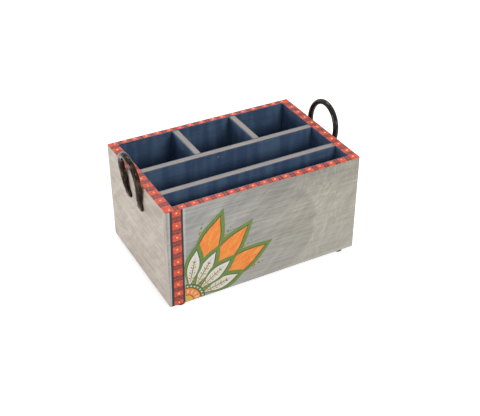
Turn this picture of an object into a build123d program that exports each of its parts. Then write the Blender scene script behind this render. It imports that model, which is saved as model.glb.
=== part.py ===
from build123d import *
import math
import os
from typing import NamedTuple

# Painted wooden cutlery organizer: a nailed box on four button feet, open at the
# top, with two long dividers, two short cell dividers and a forged iron handle
# on each end. Millimetres, +X along the box, -Y at the front, +Z up.
# The origin is on the table, under the centre of the box.

# The box, measured over its outside faces
box_length = 254.0
box_width = 171.0
box_height = 131.5

# Boards that it is made of
end_board = 12.0
long_board = 9.0
base_board = 6.0
long_divider_board = 9.0
cell_divider_board = 9.0

# Compartments, counted from the front panel backwards
front_bay_depth = 26.8
middle_bay_depth = 44.4
rear_cells = 3
divider_drop = 0.5

# Softened edges
outer_round = 1.6
divider_round = 0.8

# Brads: flat-sided steel pins set below the surface, then filled and painted over.
# The filler over each head is part of its board.
brad_width = 1.3
brad_thickness = 1.1
brad_head_width = 2.2
brad_head_height = 0.9
brad_length = 24.0
brad_point = 2.0
brad_set = 2.0
nail_clearance = 0.05
brad_edge_margin = 18.0
wall_brad_count = 3
divider_brad_count = 2
long_wall_base_brad_count = 3
end_base_brad_count = 2
base_brad_margin = 48.0

# Button feet, each held by one nail up into the base
foot_radius = 7.0
foot_bottom_radius = 6.5
foot_height = 6.0
foot_round = 0.6
foot_inset_x = 16.8
foot_inset_y = 10.5
foot_recess_radius = 3.0
foot_recess = 1.8
foot_nail_radius = 0.9
foot_nail_head_radius = 2.2
foot_nail_head_height = 1.0
foot_nail_bite = 4.0
foot_nail_tip = 1.4

# Iron handles: one bent rod each, its two ends hammered to flared flat feet
leg_spacing = 34.0
handle_drop = 33.5
foot_centre_offset = 1.6
flare_half_width = 8.0
flare_half_thickness = 2.1
flare_full_rise = 1.0
neck_half_width = 4.6
neck_half_thickness = 2.8
neck_rise = 8.0
flare_rise = 15.0
trim_allowance = 2.0

# Each handle was drawn out and bent by hand, so the two differ in thickness, in their loops
# and in how they lean and sit
left_rod_radius = 3.8
left_loop_radius = 23.6
left_loop_rise = 37.9
left_handle_lean = 5.8
left_handle_shift = 0.5
right_rod_radius = 3.5
right_loop_radius = 28.4
right_loop_rise = 33.0
right_handle_lean = 6.0
right_handle_shift = 4.6

# Dome-headed nails that hold the handles
handle_nail_radius = 1.2
handle_nail_head_radius = 2.7
handle_nail_dome = 1.5
handle_nail_bite = 9.0
handle_nail_tip = 2.0
handle_nail_rise = 4.8
handle_nail_seat = 3.0

# Planes and faces that the pieces share
front_face = -box_width / 2
back_face = box_width / 2
left_face = -box_length / 2
right_face = box_length / 2
box_floor = foot_height
rim = foot_height + box_height
divider_top = rim - divider_drop
base_top = box_floor + base_board
front_inner = front_face + long_board
back_inner = back_face - long_board
left_inner = left_face + end_board
right_inner = right_face - end_board
front_divider_front = front_inner + front_bay_depth
front_divider_back = front_divider_front + long_divider_board
rear_divider_front = front_divider_back + middle_bay_depth
rear_divider_back = rear_divider_front + long_divider_board
cell_count_walls = rear_cells - 1
cell_width = (right_inner - left_inner - cell_count_walls * cell_divider_board) / rear_cells


def slab(x_span, y_span, z_span):
    """A plain board between pairs of faces."""
    low = Vector(x_span[0], y_span[0], z_span[0])
    size = [span[1] - span[0] for span in (x_span, y_span, z_span)]
    middle = low + Vector(*size) / 2
    return Pos(middle) * Box(*size)


def spread(low, high, count):
    """Evenly spaced places from low to high, both included."""
    if count == 1:
        return [(low + high) / 2]
    return [low + (high - low) * i / (count - 1) for i in range(count)]


def brad(gap=0.0):
    """A brad along Z, the top of its head at z = 0 and its chisel point below.

    With a gap it is the cut that a brad needs: the head's floor still touches, the rest clears.
    """
    head = brad_head_width / 2 + gap
    shank = brad_width / 2 + gap
    shoulder = brad_point - brad_length
    profile = Polyline(
        (-head, gap),
        (head, gap),
        (head, -brad_head_height),
        (shank, -brad_head_height),
        (shank, shoulder),
        (0, -brad_length - gap),
        (-shank, shoulder),
        (-shank, -brad_head_height),
        (-head, -brad_head_height),
        close=True,
    )
    return extrude(Plane.XZ * make_face(profile), brad_thickness / 2 + gap, both=True)


def brad_at(point, outward):
    """Where one brad stands: its head's top at point and facing outward, its wide side upright."""
    return Plane(origin=point, x_dir=(0, 0, 1), z_dir=outward).location


def brads(places):
    return [place * brad() for place in places]


def brad_holes(places):
    return [place * brad(nail_clearance) for place in places]


def wall_brad_places(face, direction):
    """Brads through a long panel into the edges of both end panels."""
    head_y = face - direction * brad_set
    heights = spread(box_floor + brad_edge_margin, rim - brad_edge_margin, wall_brad_count)
    places = []
    for x in (left_face + end_board / 2, right_face - end_board / 2):
        for z in heights:
            places.append(brad_at((x, head_y, z), (0, direction, 0)))
    return places


def divider_brad_places(divider_middle):
    """Brads through both end panels into the ends of one long divider."""
    heights = spread(base_top + brad_edge_margin, rim - brad_edge_margin, divider_brad_count)
    places = []
    for face, direction in ((left_face, -1), (right_face, 1)):
        for z in heights:
            places.append(brad_at((face - direction * brad_set, divider_middle, z), (direction, 0, 0)))
    return places


def base_brad_places():
    """Brads through all four walls into the edges of the base."""
    z = box_floor + base_board / 2
    places = []
    along = spread(left_face + base_brad_margin, right_face - base_brad_margin, long_wall_base_brad_count)
    across = spread(front_face + base_brad_margin, back_face - base_brad_margin, end_base_brad_count)
    for face, direction in ((front_face, -1), (back_face, 1)):
        for x in along:
            places.append(brad_at((x, face - direction * brad_set, z), (0, direction, 0)))
    for face, direction in ((left_face, -1), (right_face, 1)):
        for y in across:
            places.append(brad_at((face - direction * brad_set, y, z), (direction, 0, 0)))
    return places


def cell_divider_spans():
    """The X span of each short divider, counted from the left."""
    spans = []
    for i in range(cell_count_walls):
        start = left_inner + (i + 1) * cell_width + i * cell_divider_board
        spans.append((start, start + cell_divider_board))
    return spans


def cell_brad_places():
    """Brads into both ends of each short divider, through the rear long divider and the back panel."""
    heights = spread(base_top + brad_edge_margin, rim - brad_edge_margin, divider_brad_count)
    places = []
    for span in cell_divider_spans():
        x = (span[0] + span[1]) / 2
        for z in heights:
            places.append(brad_at((x, rear_divider_front + brad_set, z), (0, -1, 0)))
            places.append(brad_at((x, back_face - brad_set, z), (0, 1, 0)))
    return places


front_panel_brads = wall_brad_places(front_face, -1)
back_panel_brads = wall_brad_places(back_face, 1)
base_panel_brads = base_brad_places()
front_divider_brads = divider_brad_places((front_divider_front + front_divider_back) / 2)
rear_divider_brads = divider_brad_places((rear_divider_front + rear_divider_back) / 2)
cell_divider_brads = cell_brad_places()


def long_panel(face, inner, direction, wall_brads):
    """The front or back panel: it covers the end panels' edges, with its outside edges softened."""
    y_span = sorted((face, inner))
    panel = slab((left_face, right_face), y_span, (box_floor, rim))
    outer = panel.faces().sort_by(Axis.Y)[0 if direction < 0 else -1]
    upright = outer.edges().filter_by(Axis.Z)
    top = panel.faces().sort_by(Axis.Z)[-1]
    top_outer = top.edges().filter_by(Axis.X).sort_by(Axis.Y)[0 if direction < 0 else -1]
    top_ends = top.edges().filter_by(Axis.Y)
    panel = fillet([*upright, top_outer, *top_ends], outer_round)
    return panel - brad_holes(wall_brads + base_panel_brads)


def front_panel():
    return long_panel(front_face, front_inner, -1, front_panel_brads)


def back_panel():
    return long_panel(back_face, back_inner, 1, back_panel_brads + cell_divider_brads)


def end_panel(face, inner, direction, nail_places):
    """A thicker end board between the long panels, drilled for its handle's nails."""
    x_span = sorted((face, inner))
    panel = slab(x_span, (front_inner, back_inner), (box_floor, rim))
    top = panel.faces().sort_by(Axis.Z)[-1]
    top_outer = top.edges().filter_by(Axis.Y).sort_by(Axis.X)[0 if direction < 0 else -1]
    panel = fillet(top_outer, outer_round)
    wall_brads = front_panel_brads + back_panel_brads + base_panel_brads
    panel -= brad_holes(wall_brads + front_divider_brads + rear_divider_brads)
    return panel - handle_nail_holes(nail_places)


def base_panel():
    """The base, let in between the four walls, with its underside level with theirs."""
    panel = slab((left_inner, right_inner), (front_inner, back_inner), (box_floor, base_top))
    return panel - brad_holes(base_panel_brads) - [place * foot_nail_hole() for place in foot_places()]


def soften_top(divider, along):
    """Takes the sharpness off the two long top edges of a divider."""
    top = divider.faces().sort_by(Axis.Z)[-1]
    return fillet(top.edges().filter_by(along), divider_round)


def front_long_divider():
    y_span = (front_divider_front, front_divider_back)
    divider = slab((left_inner, right_inner), y_span, (base_top, divider_top))
    return soften_top(divider, Axis.X) - brad_holes(front_divider_brads)


def rear_long_divider():
    y_span = (rear_divider_front, rear_divider_back)
    divider = slab((left_inner, right_inner), y_span, (base_top, divider_top))
    divider = soften_top(divider, Axis.X)
    return divider - brad_holes(rear_divider_brads + cell_divider_brads)


def cell_divider(x_span):
    divider = slab(x_span, (rear_divider_back, back_inner), (base_top, divider_top))
    return soften_top(divider, Axis.Y) - brad_holes(cell_divider_brads)


# Handles

class Loop(NamedTuple):
    """One handle's bend: its side of the box, rod, loop, lean outwards and shift behind the middle."""

    direction: int
    rod: float
    radius: float
    rise: float
    lean: float
    shift: float


left_loop = Loop(
    direction=-1,
    rod=left_rod_radius,
    radius=left_loop_radius,
    rise=left_loop_rise,
    lean=left_handle_lean,
    shift=left_handle_shift,
)
right_loop = Loop(
    direction=1,
    rod=right_rod_radius,
    radius=right_loop_radius,
    rise=right_loop_rise,
    lean=right_handle_lean,
    shift=right_handle_shift,
)


def handle_face(loop):
    """The outside face that a handle is nailed to."""
    return left_face if loop.direction < 0 else right_face


def handle_plane(loop):
    """The leaning plane of one loop: x along the box's width, y up, z across the rod."""
    lean = math.radians(loop.lean)
    origin = (handle_face(loop) + loop.direction * foot_centre_offset, loop.shift, rim - handle_drop)
    up = Vector(loop.direction * math.sin(lean), 0, math.cos(lean))
    across = Vector(0, 1, 0)
    return Plane(origin=origin, x_dir=across, z_dir=across.cross(up))


def leg_tangent(loop):
    """Where a leg meets the loop, and the leg's unit direction from its foot, in the loop's plane."""
    half = leg_spacing / 2
    reach = math.hypot(half, loop.rise)
    angle = math.atan2(-loop.rise, half) + math.acos(loop.radius / reach)
    x = loop.radius * math.cos(angle)
    y = loop.rise + loop.radius * math.sin(angle)
    length = math.hypot(x - half, y)
    return (x, y), ((x - half) / length, y / length)


def rod_loop(loop):
    """The round rod from the top of one flare, over the loop, to the top of the other."""
    (x, y), (step_x, step_y) = leg_tangent(loop)
    start = (leg_spacing / 2 + step_x * flare_rise, step_y * flare_rise)
    crown = (0, loop.rise + loop.radius)
    right_leg = Line(start, (x, y))
    bend = ThreePointArc((x, y), crown, (-x, y))
    left_leg = Line((-x, y), (-start[0], start[1]))
    path = Wire([right_leg, bend, left_leg])
    section = Plane(origin=path @ 0, z_dir=path % 0) * Circle(loop.rod)
    return sweep(section, path)


def flared_foot(loop, side):
    """One end of the rod, hammered from round to a wide flat flare, with length to spare for the trim."""
    step_x, step_y = leg_tangent(loop)[1]
    along = Vector(side * step_x, step_y, 0)
    end = Vector(side * leg_spacing / 2, 0, 0)
    wide = Vector(step_y, -side * step_x, 0)
    sections = (
        (-trim_allowance, flare_half_width, flare_half_thickness),
        (flare_full_rise, flare_half_width, flare_half_thickness),
        (neck_rise, neck_half_width, neck_half_thickness),
        (flare_rise, loop.rod, loop.rod),
    )
    faces = []
    for rise, half_width, half_thickness in sections:
        plane = Plane(origin=end + along * rise, x_dir=wide, z_dir=along)
        outline = Circle(loop.rod) if rise == flare_rise else Ellipse(half_width, half_thickness)
        faces.append(plane * outline)
    return loft(faces)


def handle_nail_places(loop):
    """The nail through each flared foot: square to the wall, its head seated on the flare."""
    step_x, step_y = leg_tangent(loop)[1]
    seat = handle_face(loop) + loop.direction * handle_nail_seat
    places = []
    for side in (-1, 1):
        y = loop.shift + side * (leg_spacing / 2 + step_x * handle_nail_rise)
        z = rim - handle_drop + step_y * handle_nail_rise
        places.append(Plane(origin=(seat, y, z), z_dir=(loop.direction, 0, 0)).location)
    return places


def handle_nail():
    """A dome-headed nail along Z, with the underside of its head at z = 0."""
    length = handle_nail_seat + handle_nail_bite
    shoulder = handle_nail_tip - length
    outline = [
        Line((0, handle_nail_dome), (0, -length)),
        Line((0, -length), (handle_nail_radius, shoulder)),
        Line((handle_nail_radius, shoulder), (handle_nail_radius, 0)),
        Line((handle_nail_radius, 0), (handle_nail_head_radius, 0)),
    ]
    dome_radius = (handle_nail_dome**2 + handle_nail_head_radius**2) / (2 * handle_nail_dome)
    middle = math.asin(handle_nail_head_radius / dome_radius) / 2
    dome_point = (
        dome_radius * math.sin(middle),
        handle_nail_dome - dome_radius * (1 - math.cos(middle)),
    )
    outline.append(ThreePointArc((handle_nail_head_radius, 0), dome_point, (0, handle_nail_dome)))
    return revolve(Plane.XZ * make_face(outline), Axis.Z)


def handle_nail_hole():
    """The hole for a handle's nail, through the foot and into the end board."""
    length = handle_nail_seat + handle_nail_bite
    radius = handle_nail_radius + nail_clearance
    profile = Polyline(
        (0, 0),
        (radius, 0),
        (radius, handle_nail_tip - length),
        (0, -length - nail_clearance),
        close=True,
    )
    return revolve(Plane.XZ * make_face(profile), Axis.Z)


def handle_nail_holes(places):
    return [place * handle_nail_hole() for place in places]


def handle(loop):
    """A whole handle: rod, flared feet, a filed flat back, a level bottom edge and a seat for each nail."""
    rod = rod_loop(loop)
    rod += [flared_foot(loop, side) for side in (-1, 1)]
    rod = handle_plane(loop) * rod
    face = handle_face(loop)
    wall_span = sorted((face, face - loop.direction * end_board))
    wall = slab(wall_span, (front_face, back_face), (box_floor, rim))
    foot_line = rim - handle_drop
    below = slab(
        sorted((face, face + loop.direction * box_width)),
        (front_face, back_face),
        (foot_line - 2 * box_length, foot_line),
    )
    rod -= [wall, below]
    places = handle_nail_places(loop)
    spot = Cylinder(
        handle_nail_head_radius + nail_clearance,
        loop.rod,
        align=(Align.CENTER, Align.CENTER, Align.MIN),
    )
    rod -= [place * spot for place in places]
    return rod - handle_nail_holes(places)


# Feet

def foot_places():
    """The four feet, in the order front left, front right, rear left, rear right."""
    places = []
    for y in (front_face + foot_inset_y, back_face - foot_inset_y):
        for x in (left_face + foot_inset_x, right_face - foot_inset_x):
            places.append(Location((x, y, 0)))
    return places


foot_nail_point = foot_height + foot_nail_bite


def foot_nail():
    """A foot's nail, point up, with its head against the floor of the recess."""
    profile = Polyline(
        (0, foot_recess - foot_nail_head_height),
        (foot_nail_head_radius, foot_recess - foot_nail_head_height),
        (foot_nail_head_radius, foot_recess),
        (foot_nail_radius, foot_recess),
        (foot_nail_radius, foot_nail_point - foot_nail_tip),
        (0, foot_nail_point),
        close=True,
    )
    return revolve(Plane.XZ * make_face(profile), Axis.Z)


def foot_nail_hole():
    """The hole for a foot's nail, from the recess up into the base."""
    radius = foot_nail_radius + nail_clearance
    profile = Polyline(
        (0, foot_recess),
        (radius, foot_recess),
        (radius, foot_nail_point - foot_nail_tip),
        (0, foot_nail_point + nail_clearance),
        close=True,
    )
    return revolve(Plane.XZ * make_face(profile), Axis.Z)


def button_foot():
    """A turned button, slightly tapered, with a rounded lower edge and a recess for the nail's head."""
    profile = Polyline(
        (0, 0),
        (foot_bottom_radius, 0),
        (foot_radius, foot_height),
        (0, foot_height),
        close=True,
    )
    foot = revolve(Plane.XZ * make_face(profile), Axis.Z)
    lower_edge = foot.faces().sort_by(Axis.Z)[0].edges()
    foot = fillet(lower_edge, foot_round)
    recess = Cylinder(foot_recess_radius, foot_recess, align=(Align.CENTER, Align.CENTER, Align.MIN))
    return foot - recess - foot_nail_hole()


def write(name, shape):
    """One file for each piece, or for a group of like nails."""
    shape = Compound(children=list(shape)) if isinstance(shape, list) else shape
    export_step(shape, f"parts/{name}.step")
    print(name, round(shape.volume))


left_nail_places = handle_nail_places(left_loop)
right_nail_places = handle_nail_places(right_loop)

write("front_panel", front_panel())
write("back_panel", back_panel())
write("left_end_panel", end_panel(left_face, left_inner, -1, left_nail_places))
write("right_end_panel", end_panel(right_face, right_inner, 1, right_nail_places))
write("base_panel", base_panel())
write("front_long_divider", front_long_divider())
write("rear_long_divider", rear_long_divider())

for name, x_span in zip(("left_cell_divider", "right_cell_divider"), cell_divider_spans()):
    write(name, cell_divider(x_span))

write("left_handle", handle(left_loop))
write("right_handle", handle(right_loop))
write("left_handle_nails", [place * handle_nail() for place in left_nail_places])
write("right_handle_nails", [place * handle_nail() for place in right_nail_places])

foot_names = ("front_left_foot", "front_right_foot", "rear_left_foot", "rear_right_foot")
for name, place in zip(foot_names, foot_places()):
    write(name, place * button_foot())
write("foot_nails", [place * foot_nail() for place in foot_places()])

write("front_panel_brads", brads(front_panel_brads))
write("back_panel_brads", brads(back_panel_brads))
write("base_panel_brads", brads(base_panel_brads))
write("front_divider_brads", brads(front_divider_brads))
write("rear_divider_brads", brads(rear_divider_brads))
write("cell_divider_brads", brads(cell_divider_brads))
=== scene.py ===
import math

import bmesh
import bpy
from mathutils import Matrix, Quaternion, Vector, noise


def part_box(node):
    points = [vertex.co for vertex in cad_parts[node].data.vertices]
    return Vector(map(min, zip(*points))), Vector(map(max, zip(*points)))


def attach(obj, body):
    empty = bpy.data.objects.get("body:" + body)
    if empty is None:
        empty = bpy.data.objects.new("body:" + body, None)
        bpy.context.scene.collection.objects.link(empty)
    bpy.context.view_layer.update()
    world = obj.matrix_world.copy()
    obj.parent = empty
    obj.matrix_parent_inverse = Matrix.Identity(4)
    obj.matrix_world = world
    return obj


bl_info = {
    "name": "Painted cutlery organizer",
    "version": (1, 0, 0),
    "blender": (4, 5, 0),
    "location": "View3D > Sidebar > Organizer",
    "description": "Paints and finishes a wooden cutlery organizer around its fixed frame",
    "category": "Object",
}

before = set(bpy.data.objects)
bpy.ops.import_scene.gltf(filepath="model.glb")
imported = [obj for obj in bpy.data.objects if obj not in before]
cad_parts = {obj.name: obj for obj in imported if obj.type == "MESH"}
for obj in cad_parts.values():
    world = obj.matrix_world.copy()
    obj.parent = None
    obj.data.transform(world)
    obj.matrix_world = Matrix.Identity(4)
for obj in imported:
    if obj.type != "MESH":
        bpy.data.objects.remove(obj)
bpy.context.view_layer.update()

mm = 0.001

# Planes of the box, taken from the frame
(left_face, front_face, box_floor), (right_face, front_inner, rim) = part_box("front_panel")
back_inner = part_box("back_panel")[0].y
back_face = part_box("back_panel")[1].y
left_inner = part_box("left_end_panel")[1].x
right_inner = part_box("right_end_panel")[0].x
base_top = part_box("base_panel")[1].z
divider_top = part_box("front_long_divider")[1].z

# Middle of the scrubbed patch on the front
scrub_middle = (right_face - 120 * mm, box_floor + 62 * mm)

# Middle lines of the painted rim
rim_left = (left_face + left_inner) / 2
rim_right = (right_face + right_inner) / 2
rim_front = (front_face + front_inner) / 2
rim_back = (back_face + back_inner) / 2

# Where a hand set the dots, in millimetres: on the long rims from the left middle line,
# on the end rims from the front middle line, on the band from the bottom of the box
front_dots = (
    0.8, 15.9, 30.9, 46.8, 62.2, 77.7, 91.2, 104.6, 119.7,
    133.2, 147.7, 164.5, 179.4, 194.2, 209.1, 224.8, 240.6,
)
back_dots = (
    2.6, 15.5, 28.5, 43.8, 59.3, 75.1, 89.6, 104.1, 119.7,
    135.8, 149.2, 165.1, 180.2, 195.4, 211.7, 224.5, 238.5,
)
left_dots = (3.5, 21.6, 39.7, 56.6, 73.4, 89.8, 105.0, 119.5, 133.5, 148.0, 160.5)
right_dots = (1.4, 15.3, 33.5, 47.8, 64.4, 81.6, 95.0, 111.2, 127.3, 143.1, 160.1)
band_dots = (2.8, 16.3, 29.9, 47.1, 61.8, 79.0, 95.3, 111.3, 128.1)


def linear(hex_colour):
    """An sRGB hex colour as Blender's linear red, green, blue and alpha."""
    levels = [int(hex_colour[start:start + 2], 16) / 255 for start in (1, 3, 5)]
    return (*(v / 12.92 if v <= 0.04045 else ((v + 0.055) / 1.055) ** 2.4 for v in levels), 1.0)


def swatch(name, description, hex_colour):
    """A colour that the sidebar shows as a swatch."""
    return bpy.props.FloatVectorProperty(
        name=name, description=description, subtype="COLOR", size=4, min=0, max=1, default=linear(hex_colour)
    )


def number(name, description, default, **limits):
    """A number, with its unit, subtype or lowest value."""
    return bpy.props.FloatProperty(name=name, description=description, default=default, **limits)


def measure(name, description, millimetres):
    """A length."""
    return number(name, description, millimetres * mm, unit="LENGTH")


class BoardPaint(bpy.types.PropertyGroup):
    """Paint on the boards of the box."""

    grey: swatch("Grey", "Chalk grey on the outside", "#908e8c")
    grey_light: swatch("Light grey", "The grey, dragged thin", "#bfbdba")
    warm: swatch("Warm grey", "Grey towards the right of the front", "#908b7e")
    warm_light: swatch("Light warm grey", "The warm grey, dragged thin", "#bebaab")
    # This colour also makes the painted light along the front's foot on the right
    scrub_and_foot_light: swatch("Pale scrub", "Strokes on the right of the front", "#d2cdbf")
    # Painted shade and painted light on the front: the first colour darkens it under the rim, the second
    # makes it paler low down
    dark_wash_painted_shade: swatch("Thick wash", "Where the front's wash stayed thick", "#3e4047")
    pale_wash_painted_light: swatch("Thin wash", "Where the wash ran thin", "#dcdbd8")
    end_grey: swatch("End grey", "Warmer grey on the two ends", "#a4988b")
    end_light: swatch("End light grey", "Pale strokes on the ends", "#d6cbbf")
    navy: swatch("Navy", "Inside of the box", "#3e5472")
    navy_light: swatch("Light navy", "Thin strokes of navy", "#526a86")
    # Painted shade: with this colour the inside navy turns darker and purpler towards the bottom
    navy_painted_shade: swatch("Deep navy", "Thick navy, low down", "#4a3a50")
    taupe: swatch("Taupe", "Top edges of the dividers", "#948a82")
    taupe_light: swatch("Light taupe", "Pale strokes on those edges", "#aba198")
    lap: measure("Lap", "How far the navy laps onto a divider's top", 1.6)
    rim_lap: measure("Rim lap", "How far the navy laps onto a long board's rim", 0.7)
    streak_width: measure("Streak width", "Width of one brush streak", 2.3)
    streak_length: measure("Streak length", "Length of one brush streak", 46)
    sweep_width: measure("Sweep width", "Width of one broad sweep", 13)
    sweep_length: measure("Sweep length", "Length of one broad sweep", 80)
    scrub_width: measure("Scrub width", "Width of one scrubbed stroke", 3.0)
    scrub_length: measure("Scrub length", "Length of one scrubbed stroke", 30)
    scrub_start: measure("Scrub start", "Radius where the strokes begin", 61)
    scrub_reach: measure("Scrub reach", "How far the strokes reach past the sweep", 75)


class BorderPaint(bpy.types.PropertyGroup):
    """The red border on the rim and the upright band on the front."""

    red: swatch("Red", "Border red", "#f2624b")
    red_deep: swatch("Deep red", "Heavier strokes of the red", "#d2442f")
    wash: swatch("Wash", "Red under the hatch lines", "#ae4c42")
    line: swatch("Line", "Black of the hatch and the band's edges", "#28231f")
    dot: swatch("Dot", "Raised dots", "#ffd694")
    pale: swatch("Pale grey", "Paler grey beside the band", "#cfd1d0")
    block: measure("Red square", "Length of a red square", 8.8)
    hatch_gap: measure("Hatch spacing", "From one hatch line to the next", 2.3)
    hatch_line: measure("Hatch line", "Width of one hatch line", 1.05)
    hatch_edge: measure("Hatch edge", "Width of the line beside the hatching", 1.2)
    overlap: measure("Overlap", "How far the red runs down the outside", 0.5)
    band_left: measure("Band left", "Left edge of the band's foot, from the box's left", 2.6)
    band_right: measure("Band right", "Right edge of the band's foot, from the box's left", 19.4)
    band_lean: measure("Band lean", "How far the band leans right on its way up", 2.5)
    band_taper: measure("Band taper", "How much the band narrows on its way up", 0.9)
    left_line: measure("Left line", "Width of the band's black line on the left", 3.0)
    right_line: measure("Right line", "Width of the band's black line on the right", 2.5)
    halo: measure("Pale edging", "Width of the paler grey beside the band", 3.4)
    dot_radius: measure("Dot radius", "Radius of a raised dot", 1.35)
    dot_height: measure("Dot height", "Height of a raised dot", 0.35)


class RosettePaint(bpy.types.PropertyGroup):
    """The quarter lotus in the corner of the front."""

    green: swatch("Green", "Rims of the petals", "#6d8c3c")
    orange: swatch("Orange", "Outer petals and the heart", "#fa8534")
    orange_light: swatch("Light orange", "Strokes in the orange", "#ffac4f")
    white: swatch("White", "Inner petals", "#eeeae0")
    yellow: swatch("Yellow", "Dots, ticks and the heart's middle", "#efc04a")
    olive: swatch("Olive", "Ticks on the inner petals", "#8b9134")
    line: swatch("Line", "Black outlines", "#26211c")
    size: number("Size", "Scale of the whole lotus", 1.17, min=0.1)
    layer: measure("Layer", "Thickness of one layer of paint", 0.02)
    corner_gap: measure("Corner gap", "From the lotus to the band and the bottom", 0.9)
    inner_tip: measure("Inner petals", "Reach of the inner petals from the corner", 70)
    outer_tip: measure("Outer petals", "Reach of the outer petals from the corner", 108)
    inner_width: measure("Inner width", "Half the width of an inner petal", 10.2)
    outer_width: measure("Outer width", "Half the width of an outer petal", 14.6)
    green_rim: measure("Green rim", "Width of a petal's green rim", 3.0)
    outline: measure("Outline", "Width of a black outline", 0.7)


class IronFinish(bpy.types.PropertyGroup):
    """Finish of the handles and the nails."""

    lacquer: swatch("Lacquer", "Black lacquer", "#1b1614")
    # Brown that is part wear and part painted reflection of the lit end board, strongest on the left handle
    brown_wear_and_sheen: swatch("Rubbed", "Browner, where hands rub it", "#6b5443")
    sheen: swatch("Sheen", "Tone of the left handle's highlights", "#f3d3b6")
    plain: swatch("Plain sheen", "Tone of the right handle's highlights", "#f0edea")
    hammer_mark: measure("Hammer mark", "Width of one hammer mark", 4.5)
    nail: swatch("Nail", "Blackened steel of the nails", "#3a3633")
    brad: swatch("Brad", "Bright drawn steel", "#c3c2bf")


class FootFinish(bpy.types.PropertyGroup):
    """Finish of the button feet."""

    rubber: swatch("Rubber", "Moulded dark rubber", "#120f0e")
    dust: swatch("Dust", "Dust on the rubber", "#2b2623")
    speckle: measure("Speckle", "Size of the dust's grain", 0.8)


class StageSetup(bpy.types.PropertyGroup):
    """Floor, lamps and camera."""

    floor: swatch("Floor", "Pale floor", "#ececec")
    left_power: number("Left power", "Power of the lamp on the left", 8.0, unit="POWER")
    front_power: number("Front power", "Power of the lamp in front", 9.1, unit="POWER")
    back_power: number("Back power", "Power of the high lamp behind", 7.6, unit="POWER")
    sky: number("Sky", "Strength of the light from all round", 0.34, min=0)
    lift: number("Lift", "How much whiter the camera sees the floor", 0.68, min=0)
    target: bpy.props.FloatVectorProperty(
        name="Target", description="Point that the camera looks at", subtype="TRANSLATION", unit="LENGTH",
        default=(-4.67 * mm, -28.65 * mm, 72.04 * mm),
    )
    distance: measure("Distance", "From the camera to its target", 1092.79)
    azimuth: number("Azimuth", "Turn of the camera from the front", math.radians(-28.331), subtype="ANGLE")
    elevation: number("Elevation", "Height angle of the camera", math.radians(34.011), subtype="ANGLE")
    roll: number("Roll", "Tilt about the line of sight", math.radians(0.003), subtype="ANGLE")
    lens: number("Lens", "Focal length for a 36 mm sensor", 67.36, subtype="DISTANCE_CAMERA")


# Materials

# A Map Range that starts and ends softly, and the relations of a test
softly = {"interpolation_type": "SMOOTHSTEP"}
above = "GREATER_THAN"
below = "LESS_THAN"

# Space between nodes in the editor
node_step = 180


def add_node(tree, kind, inputs=(), operation=None, output=0, **settings):
    """Adds one node with its settings, fills its inputs in order or by name, and gives one output.

    In order, a Map Range takes a value, the range that it comes from and the range that it goes to.
    """
    made = tree.nodes.new("ShaderNode" + kind)
    made.location.x = node_step * len(tree.nodes)
    if operation:
        made.operation = operation
    for name, value in settings.items():
        setattr(made, name, value)
    for key, value in inputs.items() if isinstance(inputs, dict) else enumerate(inputs):
        if isinstance(value, bpy.types.NodeSocket):
            tree.links.new(value, made.inputs[key])
        else:
            made.inputs[key].default_value = value
    return made.outputs[output] if made.outputs else None


def new_material(name):
    """An empty material and its tree."""
    material = bpy.data.materials.new(name)
    material.use_nodes = True
    material.node_tree.nodes.clear()
    return material, material.node_tree


def finished(material, inputs, relief=None, strength=0.5, depth=0.06 * mm):
    """The material, ended in one Principled shader. A relief is raised by a share of a real depth."""
    tree = material.node_tree
    if relief is not None:
        raised = {"Strength": strength, "Distance": depth, "Height": relief}
        inputs["Normal"] = add_node(tree, "Bump", raised)
    shader = add_node(tree, "BsdfPrincipled", inputs)
    add_node(tree, "OutputMaterial", {"Surface": shader})
    return material


def new_finish(name):
    """A new material and its tree, the place on the object in metres, and that place's X, Y and Z."""
    material, tree = new_material(name)
    place = add_node(tree, "TexCoord", output="Object")
    return material, tree, place, *add_node(tree, "SeparateXYZ", (place,)).node.outputs


def from_point(tree, x, z, point):
    """How far a place is to the right of a point of the front, above it, and from it in all."""
    right = add_node(tree, "Math", (x, point[0]), "SUBTRACT")
    up = add_node(tree, "Math", (z, point[1]), "SUBTRACT")
    spoke = add_node(tree, "CombineXYZ", (right, up))
    return right, up, add_node(tree, "VectorMath", (spoke,), "LENGTH", output="Value")


def where(tree, *tests):
    """1 where every test holds. A test is a share from 0 to 1, or a value, a relation and a limit."""
    result = None
    for test in tests:
        if isinstance(test, tuple):
            value, relation, limit = test
            test = add_node(tree, "Math", (value, limit), relation)
        result = test if result is None else add_node(tree, "Math", (result, test), "MULTIPLY")
    return result


def coated(tree, colour, *coats):
    """A colour under coats of paint, each with the tests for where it shows."""
    for coat, *tests in coats:
        mixed = {0: where(tree, *tests), 6: colour, 7: coat}
        colour = add_node(tree, "Mix", mixed, output=2, data_type="RGBA")
    return colour


def grained(place, size, detail=3.0):
    """The inputs of a noise whose grains have a real size in metres."""
    return {"Vector": place, "Scale": 1 / size, "Detail": detail}


def brush_streaks(tree, place, run, length, width, detail=6.0):
    """Noise from 0 to 1, drawn out along one axis as a brush leaves it."""
    scale = [1 / width] * 3
    scale["XYZ".index(run)] = 1 / length
    drawn = add_node(tree, "Mapping", {"Vector": place, "Scale": scale})
    return add_node(tree, "TexNoise", {"Vector": drawn, "Scale": 1.0, "Detail": detail, "Roughness": 0.68})


def bent_place(tree, place, reach, width):
    """The place, pushed about by up to a reach in slow curves of a width."""
    push = add_node(tree, "TexNoise", grained(place, width, 1.0), output="Color")
    return add_node(tree, "VectorMath", (push, [reach] * 3, place), "MULTIPLY_ADD")


def unsteadied(tree, wander, amount, middle):
    """A limit that wanders about its middle, by an amount from end to end."""
    return add_node(tree, "Math", (wander, amount, middle - amount / 2), "MULTIPLY_ADD")


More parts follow.
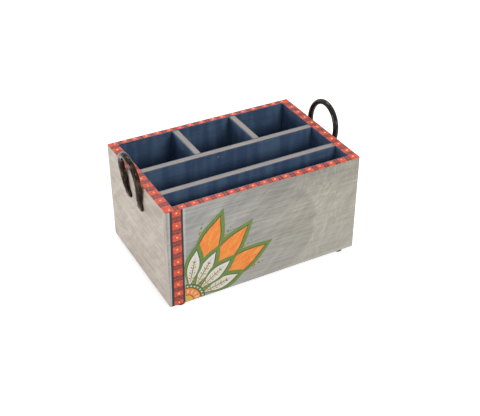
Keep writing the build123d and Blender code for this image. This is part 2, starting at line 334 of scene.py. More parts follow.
def brushed_colour(tree, place, run, base, light, paint, seed):
    """Chalky acrylic from a wide brush: fine streaks along the board, crossed by softer sweeps."""
    streaks = brush_streaks(tree, place, run, paint.streak_length, paint.streak_width)
    crossing = math.radians(38 + seed)
    axis = "Y_AXIS" if run == "X" else "X_AXIS"
    turned = add_node(tree, "VectorRotate", {"Vector": place, "Angle": crossing}, rotation_type=axis)
    elsewhere = (0.31 * seed, 0.17 * seed, 0.23 * seed)
    moved = add_node(tree, "Mapping", {"Vector": turned, "Location": elsewhere})
    swirled = bent_place(tree, moved, 18 * mm, 38 * mm)
    sweeps = brush_streaks(tree, swirled, run, paint.sweep_length, paint.sweep_width)
    streak_share = add_node(tree, "MapRange", (streaks, 0.36, 0.66, 0, 0.65))
    sweep_share = add_node(tree, "MapRange", (sweeps, 0.42, 0.7, 0, 0.5))
    share = add_node(tree, "Math", (streak_share, sweep_share), "ADD", use_clamp=True)
    return coated(tree, base, (light, share)), streaks


def scrubbed_colour(tree, place, x, z, colour, paint):
    """Pale strokes on the right of the front, scrubbed two ways beyond a round sweep, and painted light
    along the foot on the right.
    """
    aside, _, straight = from_point(tree, x, z, scrub_middle)
    unsteady = 14 * mm
    wander = add_node(tree, "TexNoise", grained(place, 24 * mm))
    reach = add_node(tree, "Math", (wander, unsteady, straight), "MULTIPLY_ADD")
    start = paint.scrub_start + unsteady / 2
    past = add_node(tree, "MapRange", (reach, start - 4 * mm, start + 3 * mm), **softly)
    fading = add_node(tree, "MapRange", (reach, start, start + paint.scrub_reach, 1, 0.4))
    on_right = add_node(tree, "MapRange", (aside, 0, 40 * mm), **softly)
    bent = bent_place(tree, place, 22 * mm, 30 * mm)
    shares = []
    for lean, low in ((66, 0.5), (118, 0.55)):
        angle = math.radians(lean)
        turned = add_node(tree, "VectorRotate", {"Vector": bent, "Angle": angle}, rotation_type="Y_AXIS")
        strokes = brush_streaks(tree, turned, "X", paint.scrub_length, paint.scrub_width)
        shares.append(add_node(tree, "MapRange", (strokes, low, low + 0.16, 0.22, 0.85)))
    pale = add_node(tree, "Math", shares, "MAXIMUM")
    scrubbed = where(tree, pale, past, fading)
    # Painted light: a pale strip along the foot of the front, on the right
    painted_light_at_foot = add_node(tree, "MapRange", (z, box_floor + 7 * mm, box_floor + 2 * mm, 0, 0.55), **softly)
    either = add_node(tree, "Math", (scrubbed, painted_light_at_foot), "MAXIMUM")
    return coated(tree, colour, (paint.scrub_and_foot_light, either, on_right))


def front_painted_shade_and_light(tree, x, z, colour, paint):
    """Painted shade and painted light on the front: darker under the rim and paler towards the bottom."""
    # Painted shade under the rim, painted light near the bottom
    rim_shade_share = add_node(tree, "MapRange", (z, rim - 45 * mm, rim, 0, 0.3), **softly)
    past_band = add_node(tree, "MapRange", (x, left_face + 40 * mm, 40 * mm), **softly)
    before_end = add_node(tree, "MapRange", (x, 80 * mm, 115 * mm, 1, 0.35))
    thin = add_node(tree, "MapRange", (z, box_floor, box_floor + 75 * mm, 0.15, 0))
    thick = (paint.dark_wash_painted_shade, rim_shade_share, past_band, before_end)
    return coated(tree, colour, thick, (paint.pale_wash_painted_light, thin))


def hatched_border(tree, place, along, first, dots, border):
    """Red squares and squares of hatch lines by turns, drawn by hand from dot to dot."""
    low = first + dots[0] * mm
    high = first + dots[-1] * mm
    pitch = (high - low) / (len(dots) - 1)
    share = add_node(tree, "MapRange", (along, low, high))
    evened = add_node(tree, "FloatCurve", {"Value": share})
    mapping = evened.node.mapping
    for i, dot in enumerate(dots[1:-1], start=1):
        mapping.curves[0].points.new((dot - dots[0]) / (dots[-1] - dots[0]), i / (len(dots) - 1))
    mapping.update()
    wander = add_node(tree, "TexNoise", grained(place, 5 * mm, 2.0))
    shift = unsteadied(tree, wander, 1.4 * mm, 0)
    drawn = add_node(tree, "Math", (evened, high - low, shift), "MULTIPLY_ADD")
    from_dot = add_node(tree, "Math", (drawn, pitch / 2), "PINGPONG")
    hatched = (from_dot, above, border.block / 2)
    on_edge = where(tree, (from_dot, below, border.block / 2 + border.hatch_edge))
    from_middle = add_node(tree, "Math", (pitch / 2, from_dot), "SUBTRACT")
    from_gap = add_node(tree, "Math", (from_middle, border.hatch_gap / 2), "PINGPONG")
    on_line = where(tree, (from_gap, above, (border.hatch_gap - border.hatch_line) / 2))
    lines = add_node(tree, "Math", (on_line, on_edge), "MAXIMUM")
    flow = add_node(tree, "TexNoise", grained(place, 2.2 * mm))
    ink = add_node(tree, "MapRange", (flow, 0.4, 0.58, 0.15, 1))
    strokes = add_node(tree, "TexNoise", grained(place, 2.4 * mm))
    heavy = add_node(tree, "MapRange", (strokes, 0.36, 0.66))
    hatching = ((border.wash, hatched), (border.line, hatched, lines, ink))
    return coated(tree, border.red, (border.red_deep, heavy), *hatching)


def painted_wall(node, run, dots, shades, paint, border, seed):
    """Acrylic on planed wood: chalk grey outside, navy inside and a hand-drawn red border on the rim.

    The eye reads it as painted wood by the brush streaks, the wandering edges and the soft satin.
    """
    material, tree, place, x, y, z = new_finish("acrylic_on_" + node.replace("panel", "board"))
    base, light = shades
    front = node == "front_panel"
    if front:
        to_right = add_node(tree, "MapRange", (x, left_face, right_face), **softly)
        base = coated(tree, base, (paint.warm, to_right))
        light = coated(tree, light, (paint.warm_light, to_right))
    outside, streaks = brushed_colour(tree, place, run, base, light, paint, seed)
    if front:
        outside = scrubbed_colour(tree, place, x, z, outside, paint)
        # Painted shade under the rim and painted light low down on the front
        outside = front_painted_shade_and_light(tree, x, z, outside, paint)
    beside = add_node(tree, "Math", (x,), "ABSOLUTE")
    behind = add_node(tree, "Math", (y,), "ABSOLUTE")
    if run == "X":
        # The narrow edges of a long board match the ends
        ends, _ = brushed_colour(tree, place, "Z", paint.end_grey, paint.end_light, paint, 5)
        outside = coated(tree, outside, (ends, (beside, above, right_face - 0.6 * mm)))

    # Inside: within the walls' inner faces, and a little way over the rim
    wander = add_node(tree, "TexNoise", grained(place, 9 * mm, 2.0))
    limit = unsteadied(tree, wander, 2.4 * mm, back_inner + paint.rim_lap)
    inside = where(tree, (beside, below, right_inner + 0.25 * mm), (behind, below, limit))
    colour = coated(tree, outside, (inside_colour(tree, place, z, run, paint), inside))

    # Rim: the top, the rounded edge and a little of the outside, with an edge that wanders
    along, first = (x, rim_left) if run == "X" else (y, rim_front)
    red = hatched_border(tree, place, along, first, dots, border)
    drip = 1.1 * mm
    lower = rim - border.overlap + drip / 2
    if front:
        # The brush ran lower on the right
        lowest = lower - 1.8 * border.overlap
        lower = add_node(tree, "MapRange", (x, 25 * mm, 45 * mm, lower + 0.1 * mm, lowest))
    edge = add_node(tree, "Math", (wander, -drip, lower), "MULTIPLY_ADD")
    on_rim = where(tree, (z, above, edge), (inside, below, 0.5))

    layers = on_rim
    if front:
        colour, layers = upright_band(tree, place, (x, y, z), colour, on_rim, border)
    relief = add_node(tree, "Math", (streaks, 0.5, layers), "MULTIPLY_ADD")
    rough = add_node(tree, "MapRange", (streaks, 0, 1, 0.46, 0.66))
    satin = {"Base Color": coated(tree, colour, (red, on_rim)), "Roughness": rough, "IOR": 1.47}
    return finished(material, satin, relief, strength=0.55, depth=0.09 * mm)


def inside_colour(tree, place, z, run, paint):
    """Navy acrylic from a small brush: thin in upright sweeps, with painted shade that makes it darker and
    purpler towards the bottom.
    """
    streaks = brush_streaks(tree, place, run, 40 * mm, 3.5 * mm, 2.0)
    upright = brush_streaks(tree, place, "Z", 90 * mm, 13 * mm, 1.0)
    both = add_node(tree, "Math", (streaks, 0.4, upright), "MULTIPLY_ADD")
    thin = add_node(tree, "MapRange", (both, 0.6, 0.85))
    # Painted shade, darker and purpler low down in the box
    low = add_node(tree, "MapRange", (z, rim - 30 * mm, base_top + 10 * mm), **softly)
    return coated(tree, paint.navy, (paint.navy_light, thin), (paint.navy_painted_shade, low))


def upright_band(tree, place, parts, walls, on_rim, border):
    """The band on the front: the same squares between two black lines that lean a little."""
    x, y, z = parts
    at_front = (y, below, front_face + 1.0 * mm)
    unsteady = 0.5 * mm
    waver = add_node(tree, "TexNoise", grained(place, 14 * mm, 2.0))
    slope = border.band_lean / (rim - box_floor)
    start = left_face - slope * box_floor + unsteady / 2
    left_edge = add_node(tree, "Math", (z, slope, start), "MULTIPLY_ADD")
    from_edge = add_node(tree, "Math", (x, left_edge), "SUBTRACT")
    drawn = add_node(tree, "Math", (waver, unsteady, from_edge), "MULTIPLY_ADD")
    from_foot = add_node(tree, "Math", (z, box_floor), "SUBTRACT")
    taper = border.band_taper / (rim - box_floor)
    tapered = add_node(tree, "Math", (from_foot, taper, drawn), "MULTIPLY_ADD")
    left, right = border.band_left, border.band_right
    in_band = where(tree, (drawn, above, left), (tapered, below, right), at_front)
    on_left = where(tree, (drawn, below, left + border.left_line))
    on_right = where(tree, (tapered, above, right - border.right_line))
    on_line = add_node(tree, "Math", (on_left, on_right), "MAXIMUM")
    off_middle = add_node(tree, "Math", (drawn, (left + right) / 2), "SUBTRACT")
    aside = add_node(tree, "Math", (off_middle,), "ABSOLUTE")
    reach = (right - left) / 2
    halo = add_node(tree, "MapRange", (aside, reach + border.halo, reach, 0, 0.6), **softly)
    squares = hatched_border(tree, place, z, box_floor, band_dots, border)
    lined = coated(tree, squares, (border.line, on_line))
    colour = coated(tree, walls, (border.pale, halo, at_front), (lined, in_band))
    return colour, add_node(tree, "Math", (in_band, on_rim), "MAXIMUM")


def painted_divider(name, run, paint):
    """Acrylic on planed wood: navy sides and a taupe top edge, which catches the light as a pale stripe.

    The navy laps over the edge at the back of a long divider, or on the left of a short one.
    """
    material, tree, place, x, y, z = new_finish(f"acrylic_on_{name}")
    top, streaks = brushed_colour(tree, place, run, paint.taupe, paint.taupe_light, paint, 7)
    wander = add_node(tree, "TexNoise", grained(place, 7 * mm, 2.0))
    edge = add_node(tree, "Math", (wander, -0.1 * mm, divider_top + 0.02 * mm), "MULTIPLY_ADD")
    low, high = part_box(name)
    sides = (high.y, y) if run == "X" else (x, low.x)
    from_side = add_node(tree, "Math", sides, "SUBTRACT")
    lap = unsteadied(tree, wander, 0.6 * mm, paint.lap)
    on_top = ((z, above, edge), (from_side, above, lap))
    colour = coated(tree, inside_colour(tree, place, z, run, paint), (top, *on_top))
    rough = add_node(tree, "MapRange", (streaks, 0, 1, 0.45, 0.65))
    return finished(material, {"Base Color": colour, "Roughness": rough, "IOR": 1.47}, streaks)


def painted_base(paint):
    """The inside navy, with its painted shade, on the base's upper side, and thin grey on its underside."""
    material, tree, place, *_, z = new_finish("navy_acrylic_on_base_board")
    navy = inside_colour(tree, place, z, "X", paint)
    under, streaks = brushed_colour(tree, place, "X", paint.grey, paint.grey_light, paint, 3)
    colour = coated(tree, under, (navy, (z, above, base_top - 0.5 * mm)))
    return finished(material, {"Base Color": colour, "Roughness": 0.6, "IOR": 1.47}, streaks)


def lacquered_iron(iron):
    """Wrought iron rod, bent hot, hammered at its ends and dipped in black lacquer.

    The hammer marks break the highlights up. Brown streaks along the rod are part wear where hands rub it
    and part painted highlight, and the left handle is browner still by a painted reflection of the lit end
    board.
    """
    material, tree, place, x, *_ = new_finish("black_lacquered_wrought_iron")
    stretch = (1.0, 1.0, 0.3)
    upright = add_node(tree, "VectorMath", (place, stretch), "MULTIPLY")
    dents = {"Vector": upright, "Scale": 1 / iron.hammer_mark, "Smoothness": 0.8}
    marks = add_node(tree, "TexVoronoi", dents, output="Distance", feature="SMOOTH_F1")
    # Streaks along the rod, part wear and part painted highlight; the left handle takes the most, as a
    # painted reflection of the lit end board
    wear_and_streak_noise = add_node(tree, "TexNoise", grained(upright, 3.2 * mm))
    on_left = where(tree, (x, below, 0.0))
    left_sheen_reach = add_node(tree, "MapRange", (on_left, 0, 1, 0.2, 1))
    worn_and_sheen_share = add_node(tree, "MapRange", (wear_and_streak_noise, 0.5, 0.68, 0, left_sheen_reach))
    rough = add_node(tree, "MapRange", (wear_and_streak_noise, 0, 1, 0.04, 0.15))
    gloss = {
        "Base Color": coated(tree, iron.lacquer, (iron.brown_wear_and_sheen, worn_and_sheen_share)),
        "Specular Tint": coated(tree, iron.plain, (iron.sheen, on_left)),
        "Roughness": rough,
        "IOR": 1.3,
    }
    return finished(material, gloss, marks, strength=0.3, depth=0.3 * mm)


def blackened_steel(iron):
    """Steel blackened by heat and oil: dark, with a dull metal shine where the hammer struck."""
    material, tree, place, *_ = new_finish("blackened_steel_nail")
    scale = add_node(tree, "TexNoise", grained(place, 1.1 * mm))
    rough = add_node(tree, "MapRange", (scale, 0, 1, 0.3, 0.55))
    dull = {"Base Color": iron.nail, "Metallic": 1.0, "Roughness": rough}
    return finished(material, dull, scale, strength=0.4, depth=0.08 * mm)


def drawn_steel(iron):
    """Bright drawn wire steel, with fine die lines. The pins are hidden in the boards."""
    material, tree, place, *_ = new_finish("bright_drawn_steel_brad")
    lines = brush_streaks(tree, place, "X", 12 * mm, 0.2 * mm)
    rough = add_node(tree, "MapRange", (lines, 0, 1, 0.2, 0.4))
    return finished(material, {"Base Color": iron.brad, "Metallic": 1.0, "Roughness": rough})


def moulded_rubber(foot):
    """Dark moulded rubber: matt, with a fine bloom of dust in patches."""
    material, tree, place, *_ = new_finish("dark_moulded_rubber")
    grain = add_node(tree, "TexNoise", grained(place, foot.speckle))
    dusty = add_node(tree, "MapRange", (grain, 0.52, 0.8))
    colour = coated(tree, foot.rubber, (foot.dust, dusty))
    matt = {"Base Color": colour, "Roughness": 0.72, "IOR": 1.5}
    return finished(material, matt, grain, strength=0.3, depth=0.05 * mm)


def poster_paint(name, colour, second, corner):
    """Thick acrylic from a fine brush: strokes of a second shade run out from a corner."""
    material, tree, _, x, _, z = new_finish(name)
    right, up, reach = from_point(tree, x, z, corner)
    turn = add_node(tree, "Math", (up, right), "ARCTAN2")
    strokes_per_radian, stroke_length = 42.0, 16 * mm
    across = add_node(tree, "Math", (turn, strokes_per_radian), "MULTIPLY")
    outward = add_node(tree, "Math", (reach, 1 / stroke_length), "MULTIPLY")
    drawn = add_node(tree, "CombineXYZ", (across, outward))
    strokes = add_node(tree, "TexNoise", {"Vector": drawn, "Scale": 1.0, "Detail": 3.0})
    share = add_node(tree, "MapRange", (strokes, 0.42, 0.7))
    mixed = coated(tree, colour, (second, share))
    return finished(material, {"Base Color": mixed, "Roughness": 0.48, "IOR": 1.47}, strokes)


def dress(material, *names):
    """Gives CAD nodes their finish."""
    for name in names:
        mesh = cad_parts[name].data
        mesh.materials.clear()
        mesh.materials.append(material)


# Shapes

def new_object(name, data):
    """A new object of the scene."""
    made = bpy.data.objects.new(name, data)
    bpy.context.scene.collection.objects.link(made)
    return made


def object_from(name, shape, material):
    """Turns a bmesh into an object of the scene."""
    mesh = bpy.data.meshes.new(name)
    shape.to_mesh(mesh)
    shape.free()
    mesh.materials.append(material)
    return new_object(name, mesh)


def finish_piece(name, shape, material, smooth=False):
    """Turns a bmesh into a piece that rides on the box."""
    bmesh.ops.recalc_face_normals(shape, faces=shape.faces)
    for face in shape.faces:
        face.smooth = smooth
    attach(object_from(name, shape, material), "root")


def add_dome(shape, centre, outward, radius, height, uneven, sides=14, rings=3):
    """A drop of thick paint: a low dome, sunk a little into a face and out of round."""
    centre = Vector(centre)
    turn = Vector((0, 0, 1)).rotation_difference(Vector(outward))
    sunk = -0.1 * mm
    bulge = 2.5 * mm
    loops = []
    for ring in range(rings):
        tilt = math.pi / 2 * ring / rings
        level = height * math.sin(tilt) if ring else sunk
        loop = []
        for side in range(sides):
            angle = 2 * math.pi * side / sides
            spot = centre / bulge + Vector((math.cos(angle), math.sin(angle), 0))
            reach = radius * math.cos(tilt) * (1 + uneven * noise.noise(spot))
            point = Vector((reach * math.cos(angle), reach * math.sin(angle), level))
            loop.append(shape.verts.new(centre + turn @ point))
        loops.append(loop)
    crown = shape.verts.new(centre + turn @ Vector((0, 0, height)))
    shape.faces.new(loops[0][::-1])
    for lower, upper in zip(loops, loops[1:]):
        for i in range(sides):
            j = (i + 1) % sides
            shape.faces.new((lower[i], lower[j], upper[j], upper[i]))
    for i in range(sides):
        shape.faces.new((loops[-1][i], loops[-1][(i + 1) % sides], crown))


def add_patch(shape, outline, height):
    """A thin layer of paint on the front, from the (x, z) points of its outline and its height."""
    sunk = 0.05 * mm
    front = [shape.verts.new((x, front_face - height, z)) for x, z in outline]
    back = [shape.verts.new((x, front_face + sunk, z)) for x, z in outline]
    shape.faces.new(front)
    shape.faces.new(back[::-1])
    for i in range(len(outline)):
        j = (i + 1) % len(outline)
        shape.faces.new((front[j], front[i], back[i], back[j]))


def freehand(x, z):
    """Moves a point as far as an unsteady hand would."""
    amount = 0.35 * mm
    spot = Vector((x, z, 0)) / (9 * mm)
    return x + amount * noise.noise(spot), z + amount * noise.noise(spot + Vector((7.3, 2.1, 0)))


def place_on_ray(origin, angle, along, off=0.0):
    """The (x, z) of a place along a ray from an origin, or off to the left of the ray."""
    x = origin[0] + along * math.cos(angle) - off * math.sin(angle)
    z = origin[1] + along * math.sin(angle) + off * math.cos(angle)
    return x, z


def leaf(origin, angle, side, start, tip):
    """The outline of a leaf along a ray from an origin, from the points of one side of it."""
    line = [(start, 0), *side, (tip, 0), *[(along, -off) for along, off in reversed(side)]]
    return [place_on_ray(origin, angle, along, off) for along, off in line]


def petal(corner, angle, start, tip, half_width, steps=22):
    """A lotus petal along a ray from the corner: slim at its foot, full below the middle and pointed."""
    fullness = 1.15
    side = []
    for i in range(1, steps):
        share = i / steps
        width = half_width * math.sin(math.pi * share ** fullness) ** fullness
        side.append((start + (tip - start) * share, width))
    return [freehand(x, z) for x, z in leaf(corner, angle, side, start, tip)][::-1]


def quarter_disc(corner, radius, steps=28):
    """A quarter of a disc in the corner."""
    angles = [math.pi / 2 * i / steps for i in range(steps + 1)]
    return [corner, *[freehand(*place_on_ray(corner, angle, radius)) for angle in angles]]


def tick(middle, angle, length, width, steps=5):
    """A short stroke of a pointed brush."""
    side = [(length * (i / steps - 0.5), width / 2 * math.sin(math.pi * i / steps)) for i in range(1, steps)]
    return leaf(middle, angle, side, -length / 2, length / 2)


def add_lamp(name, place, size, power):
    """A large soft lamp that looks at the middle of the box."""
    data = bpy.data.lights.new(name, "AREA")
    data.shape = "DISK"
    data.size = size
    data.energy = power
    lamp = new_object(name, data)
    lamp.location = place
    lamp.rotation_euler = (Vector((0, 0, rim / 2)) - Vector(place)).to_track_quat("-Z", "Y").to_euler()


# Operators

class ORGANIZER_OT_set_stage(bpy.types.Operator):
    """Makes the pale floor, the soft lamps and the camera."""

    bl_idname = "organizer.set_stage"
    bl_label = "Set the stage"

    def execute(self, context):
        stage = context.scene.organizer_stage
        context.scene.view_settings.view_transform = "Standard"
        self.make_camera(context, stage)
        self.make_floor(stage)
        self.make_sky(context, stage)
        add_lamp("left_lamp", (-1.45, 0.36, 0.27), 0.45, stage.left_power)
        add_lamp("front_lamp", (0.3, -1.35, 0.78), 0.5, stage.front_power)
        add_lamp("back_lamp", (0.1, 0.7, 1.35), 0.5, stage.back_power)
        return {"FINISHED"}

    def make_camera(self, context, stage):
        """A camera at the photograph's viewing angle."""
        level = math.cos(stage.elevation)
        across = math.sin(stage.azimuth) * level
        back = Vector((across, -math.cos(stage.azimuth) * level, math.sin(stage.elevation)))
        data = bpy.data.cameras.new("camera")
        data.sensor_width = 36.0
        data.lens = stage.lens
        camera = new_object("camera", data)
        camera.location = Vector(stage.target) + back * stage.distance
        camera.rotation_mode = "QUATERNION"
        turn = (-back).to_track_quat("-Z", "Y")
        camera.rotation_quaternion = turn @ Quaternion((0, 0, 1), stage.roll)
        context.scene.camera = camera

    def make_floor(self, stage):
        """A matt pale floor, lifted to white for the camera, where the soft shadow stays."""
        material, tree = new_material("pale_matt_floor")
        seen = self.seen_directly(tree)
        matt = add_node(tree, "BsdfDiffuse", {"Color": stage.floor})
        lift = add_node(tree, "Math", (seen, stage.lift), "MULTIPLY")
        glow = add_node(tree, "Emission", {"Color": (1, 1, 1, 1), "Strength": lift})
        both = add_node(tree, "AddShader", (matt, glow))
        add_node(tree, "OutputMaterial", {"Surface": both})
        shape = bmesh.new()
        half = 4.0
        bmesh.ops.create_grid(shape, x_segments=1, y_segments=1, size=half)
        object_from("floor", shape, material)

    def make_sky(self, context, stage):
        """An even white room: white to the camera, softer as light on the object."""
        world = bpy.data.worlds.new("white_room")
        world.use_nodes = True
        tree = world.node_tree
        tree.nodes.clear()
        strength = add_node(tree, "MapRange", (self.seen_directly(tree), 0, 1, stage.sky, 1))
        sky = add_node(tree, "Background", {"Color": (1, 1, 1, 1), "Strength": strength})
        add_node(tree, "OutputWorld", {"Surface": sky})
        context.scene.world = world

    def seen_directly(self, tree):
        """1 for rays from the camera, also by way of a mirror or glass, and 0 for the object's light."""
        path = add_node(tree, "LightPath").node.outputs
        seen = path["Is Camera Ray"]
        for kind in ("Is Glossy Ray", "Is Transmission Ray"):
            seen = add_node(tree, "Math", (seen, path[kind]), "MAXIMUM")
        return seen


class ORGANIZER_OT_paint_walls(bpy.types.Operator):
    """Paints the walls: grey outside, navy inside, red border on the rim and the band on the front."""

    bl_idname = "organizer.paint_walls"
    bl_label = "Paint the walls"

    def execute(self, context):
        paint = context.scene.organizer_boards
        greys = (paint.grey, paint.grey_light)
        end_greys = (paint.end_grey, paint.end_light)
        for node, run, dots, shades, seed in (
            ("front_panel", "X", front_dots, greys, 1),
            ("back_panel", "X", back_dots, greys, 2),
            ("left_end_panel", "Y", left_dots, end_greys, 4),
            ("right_end_panel", "Y", right_dots, end_greys, 6),
        ):
            dress(painted_wall(node, run, dots, shades, paint, context.scene.organizer_border, seed), node)
        return {"FINISHED"}


class ORGANIZER_OT_paint_dividers(bpy.types.Operator):
    """Paints the dividers and the base: navy, with taupe top edges."""

    bl_idname = "organizer.paint_dividers"
    bl_label = "Paint the dividers and base"

    def execute(self, context):
        paint = context.scene.organizer_boards
        for name in ("front_long_divider", "rear_long_divider"):
            dress(painted_divider(name, "X", paint), name)
        for name in ("left_cell_divider", "right_cell_divider"):
            dress(painted_divider(name, "Y", paint), name)
        dress(painted_base(paint), "base_panel")
        return {"FINISHED"}


class ORGANIZER_OT_finish_handles(bpy.types.Operator):
    """Lacquers the iron handles and blackens the nails that hold them."""

    bl_idname = "organizer.finish_handles"
    bl_label = "Finish the handles"

    def execute(self, context):
        iron = context.scene.organizer_iron
        dress(lacquered_iron(iron), "left_handle", "right_handle")
        dress(blackened_steel(iron), "left_handle_nails", "right_handle_nails", "foot_nails")
        return {"FINISHED"}


class ORGANIZER_OT_finish_feet(bpy.types.Operator):
    """Gives the four button feet their dark rubber."""

    bl_idname = "organizer.finish_feet"
    bl_label = "Finish the feet"

    def execute(self, context):
        rubber = moulded_rubber(context.scene.organizer_feet)
        dress(rubber, "front_left_foot", "front_right_foot", "rear_left_foot", "rear_right_foot")
        return {"FINISHED"}


class ORGANIZER_OT_finish_brads(bpy.types.Operator):
    """Gives the hidden brads their bright steel."""

    bl_idname = "organizer.finish_brads"
    bl_label = "Finish the brads"

    def execute(self, context):
        steel = drawn_steel(context.scene.organizer_iron)
        dress(steel, "front_panel_brads", "back_panel_brads", "base_panel_brads")
        dress(steel, "front_divider_brads", "rear_divider_brads", "cell_divider_brads")
        return {"FINISHED"}


class ORGANIZER_OT_dot_the_border(bpy.types.Operator):
    """Sets a raised drop of pale paint in the middle of every red square."""

    bl_idname = "organizer.dot_the_border"
    bl_label = "Dot the border"

    def execute(self, context):
        border = context.scene.organizer_border
        paint = poster_paint("pale_acrylic_drops", border.dot, linear("#f7bf78"), (left_face, box_floor))
        rim_dots = bmesh.new()
        for dots, y in ((front_dots, rim_front), (back_dots, rim_back)):
            for dot in dots:
                self.add_drop(rim_dots, (rim_left + dot * mm, y, rim), (0, 0, 1), border)
        for dots, x in ((left_dots, rim_left), (right_dots, rim_right)):
            for dot in dots[1:-1]:
                self.add_drop(rim_dots, (x, rim_front + dot * mm, rim), (0, 0, 1), border)
        finish_piece("rim_dots", rim_dots, paint, smooth=True)

        band_drops = bmesh.new()
        middle = (border.band_left + border.left_line + border.band_right - border.right_line) / 2
        lean = (border.band_lean - border.band_taper / 2) / (rim - box_floor)
        for dot in band_dots:
            place = (left_face + middle + lean * dot * mm, front_face, box_floor + dot * mm)
            self.add_drop(band_drops, place, (0, -1, 0), border)
        finish_piece("band_dots", band_drops, paint, smooth=True)
        return {"FINISHED"}

    def add_drop(self, shape, centre, outward, border):
        """One drop, a little off its place and its size, as a hand sets it."""
        spot = Vector(centre) / (11 * mm)
        apart = ((0, 0, 0), (3, 1, 4), (9, 2, 6))
        shift = Vector([noise.noise(spot + Vector(step)) for step in apart])
        normal = Vector(outward)
        shift -= normal * shift.dot(normal)
        size = border.dot_radius * (1 + 0.25 * noise.noise(spot + Vector((5, 5, 5))))
        add_dome(shape, Vector(centre) + shift * 0.8 * mm, outward, size, border.dot_height, uneven=0.25)


class ORGANIZER_OT_paint_rosette(bpy.types.Operator):
    """Paints a quarter of a lotus in the corner of the front, in thin layers."""

    bl_idname = "organizer.paint_rosette"
    bl_label = "Paint the lotus"

    def execute(self, context):
        paint = context.scene.organizer_rosette
        band_end = left_face + context.scene.organizer_border.band_right
        self.corner = (band_end + paint.corner_gap, box_floor + paint.corner_gap)
        self.layer = paint.layer
        shades = {
            "green": (paint.green, linear("#5d7a33")),
            "black": (paint.line, linear("#352d26")),
            "orange": (paint.orange, paint.orange_light),
            "white": (paint.white, linear("#dcd8cc")),
            "yellow": (paint.yellow, linear("#e2a93a")),
            "olive": (paint.olive, linear("#75801f")),
        }
        self.shapes = {name: bmesh.new() for name in shades}
        self.paint_outer_petals(paint)
        self.paint_inner_petals(paint)
        self.paint_heart()
        to_corner = Matrix.Translation((-self.corner[0], 0, -self.corner[1]))
        for name, shape in self.shapes.items():
            bmesh.ops.scale(shape, vec=(paint.size, 1, paint.size), space=to_corner, verts=shape.verts)
            finish_piece(f"lotus_{name}", shape, poster_paint(f"{name}_acrylic", *shades[name], self.corner))
        return {"FINISHED"}

    def framed_petal(self, angle, start, tip, half_width, fill, level, paint):
        """A petal in three layers: green rim, black outline and fill."""
        narrowing = 2.6
        for name, inset, up in (
            ("green", 0.0, 0), ("black", paint.green_rim, 1), (fill, paint.green_rim + paint.outline, 2)
        ):
            outline = petal(self.corner, angle, start + inset, tip - narrowing * inset, half_width - inset)
            self.patch(name, outline, level + up)

    def paint_outer_petals(self, paint):
        """Three orange petals behind the gaps of the inner ones, and a bud beyond each of those."""
        for degrees, level in ((23.7, 1), (66.3, 1), (45.0, 4)):
            angle = math.radians(degrees)
            self.framed_petal(angle, 20 * mm, paint.outer_tip, paint.outer_width, "orange", level, paint)
            for i in range(5):
                reach = paint.inner_tip + (4.2 * i - 3) * mm
                self.drop("yellow", angle, reach, (1.15 - 0.13 * i) * mm, 7)
        for degrees in (13.0, 34.3, 55.7, 77.0):
            angle = math.radians(degrees)
            for name, past, radius, level in (
                ("green", 9, 2.1, 1), ("orange", 9, 1.2, 5), ("green", 15, 1.3, 1), ("green", 19.5, 0.9, 1)
            ):
                self.drop(name, angle, paint.inner_tip + past * mm, radius * mm, level)

    def paint_inner_petals(self, paint):
        """Four white petals with a black rib and slanting ticks on each side of it."""
        start = 14 * mm
        rib_size = (34 * mm, 0.9 * mm)
        tick_size = (3.6 * mm, 1.15 * mm)
        slant = math.radians(48)
        for degrees, level in ((13.0, 8), (55.7, 8), (34.3, 11), (77.0, 11)):
            angle = math.radians(degrees)
            self.framed_petal(angle, start, paint.inner_tip, paint.inner_width, "white", level, paint)
            self.stroke("black", angle, 36 * mm, rib_size, 14)
            for i in range(8):
                name = "olive" if i % 2 else "yellow"
                reach = (25 + 3.1 * i) * mm
                off = 2.3 * mm * math.sin(math.pi * (0.25 + 0.085 * i))
                for side in (-1, 1):
                    self.stroke(name, angle, reach, tick_size, 14, side * off, side * slant)

    def paint_heart(self):
        """The heart: an orange quarter with a yellow middle, a green ring and white dots."""
        names = ("black", "green", "black", "orange", "black", "yellow")
        radii = (21.0, 20.3, 16.6, 15.9, 8.4, 7.7)
        for i, (name, radius) in enumerate(zip(names, radii)):
            self.patch(name, quarter_disc(self.corner, radius * mm), 15 + i)
        for i in range(7):
            self.drop("white", math.radians(6 + 13 * i), 18.4 * mm, 0.95 * mm, 21)
        for i in range(4):
            self.stroke("white", math.radians(11 + 22.7 * i), 12.2 * mm, (5.4 * mm, 1.5 * mm), 21)

    def patch(self, name, outline, level):
        """A flat layer of one colour, so many layers off the board."""
        add_patch(self.shapes[name], outline, level * self.layer)

    def stroke(self, name, angle, reach, size, level, off=0.0, slant=0.0):
        """A stroke of a pointed brush, at a reach from the corner."""
        middle = place_on_ray(self.corner, angle, reach, off)
        self.patch(name, tick(middle, angle + slant, *size), level)

    def drop(self, name, angle, reach, radius, level):
        """A round drop of thick paint, at a reach from the corner."""
        x, z = place_on_ray(self.corner, angle, reach)
        centre = (x, front_face - (level - 1) * self.layer, z)
        add_dome(self.shapes[name], centre, (0, -1, 0), radius, 0.25 * mm, uneven=0.3, sides=12, rings=2)


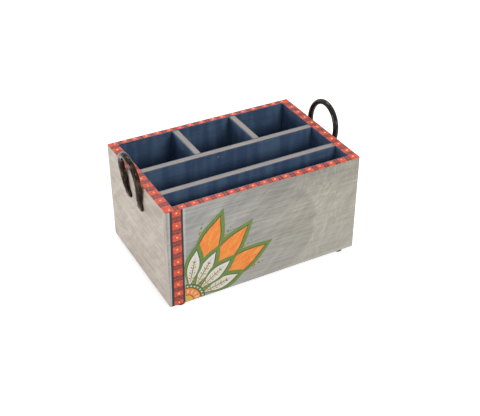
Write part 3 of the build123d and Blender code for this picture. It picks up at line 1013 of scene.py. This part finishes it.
class ORGANIZER_OT_spatter(bpy.types.Operator):
    """Adds the few specks of pale paint that the brush let fall."""

    bl_idname = "organizer.spatter"
    bl_label = "Add stray specks"

    def execute(self, context):
        pale, shade = linear("#e9dcae"), linear("#d9cfae")
        paint = poster_paint("stray_pale_acrylic", pale, shade, (left_face, box_floor))
        cell_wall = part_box("left_cell_divider")[1].x
        rear_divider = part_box("rear_long_divider")[0].y
        specks = bmesh.new()
        for centre, radius in (
            ((left_face + 240.2 * mm, front_face, rim - 3.4 * mm), 0.9 * mm),
            ((left_face + 133.7 * mm, front_face, box_floor + 31 * mm), 0.75 * mm),
            ((cell_wall + 4.5 * mm, back_inner, rim - 10 * mm), 0.8 * mm),
            ((right_inner - 132 * mm, rear_divider, divider_top - 6 * mm), 0.7 * mm),
        ):
            add_dome(specks, centre, (0, -1, 0), radius, 0.2 * mm, uneven=0.6, sides=10, rings=2)
        finish_piece("stray_specks", specks, paint, smooth=True)
        return {"FINISHED"}


class ORGANIZER_PT_sidebar(bpy.types.Panel):
    """Lists the operators and the values that they use."""

    bl_idname = "ORGANIZER_PT_sidebar"
    bl_label = "Cutlery organizer"
    bl_space_type = "VIEW_3D"
    bl_region_type = "UI"
    bl_category = "Organizer"

    def draw(self, context):
        for operator in operators:
            self.layout.operator(operator.bl_idname)
        for name, group in groups.items():
            box = self.layout.box()
            box.label(text=group.__doc__)
            for field in group.__annotations__:
                box.prop(getattr(context.scene, name), field)


groups = {
    "organizer_boards": BoardPaint,
    "organizer_border": BorderPaint,
    "organizer_rosette": RosettePaint,
    "organizer_iron": IronFinish,
    "organizer_feet": FootFinish,
    "organizer_stage": StageSetup,
}

operators = (
    ORGANIZER_OT_set_stage,
    ORGANIZER_OT_paint_walls,
    ORGANIZER_OT_paint_dividers,
    ORGANIZER_OT_finish_handles,
    ORGANIZER_OT_finish_feet,
    ORGANIZER_OT_finish_brads,
    ORGANIZER_OT_dot_the_border,
    ORGANIZER_OT_paint_rosette,
    ORGANIZER_OT_spatter,
)

classes = (*groups.values(), *operators, ORGANIZER_PT_sidebar)


def register():
    for item in classes:
        bpy.utils.register_class(item)
    for name, group in groups.items():
        setattr(bpy.types.Scene, name, bpy.props.PointerProperty(type=group))


def unregister():
    for name in groups:
        delattr(bpy.types.Scene, name)
    for item in reversed(classes):
        bpy.utils.unregister_class(item)


def main():
    """Builds the stage and every finish."""
    register()
    bpy.ops.organizer.set_stage()
    bpy.ops.organizer.paint_walls()
    bpy.ops.organizer.paint_dividers()
    bpy.ops.organizer.finish_handles()
    bpy.ops.organizer.finish_feet()
    bpy.ops.organizer.finish_brads()
    bpy.ops.organizer.dot_the_border()
    bpy.ops.organizer.paint_rosette()
    bpy.ops.organizer.spatter()
    bpy.context.view_layer.update()


if __name__ == "__main__":
    main()
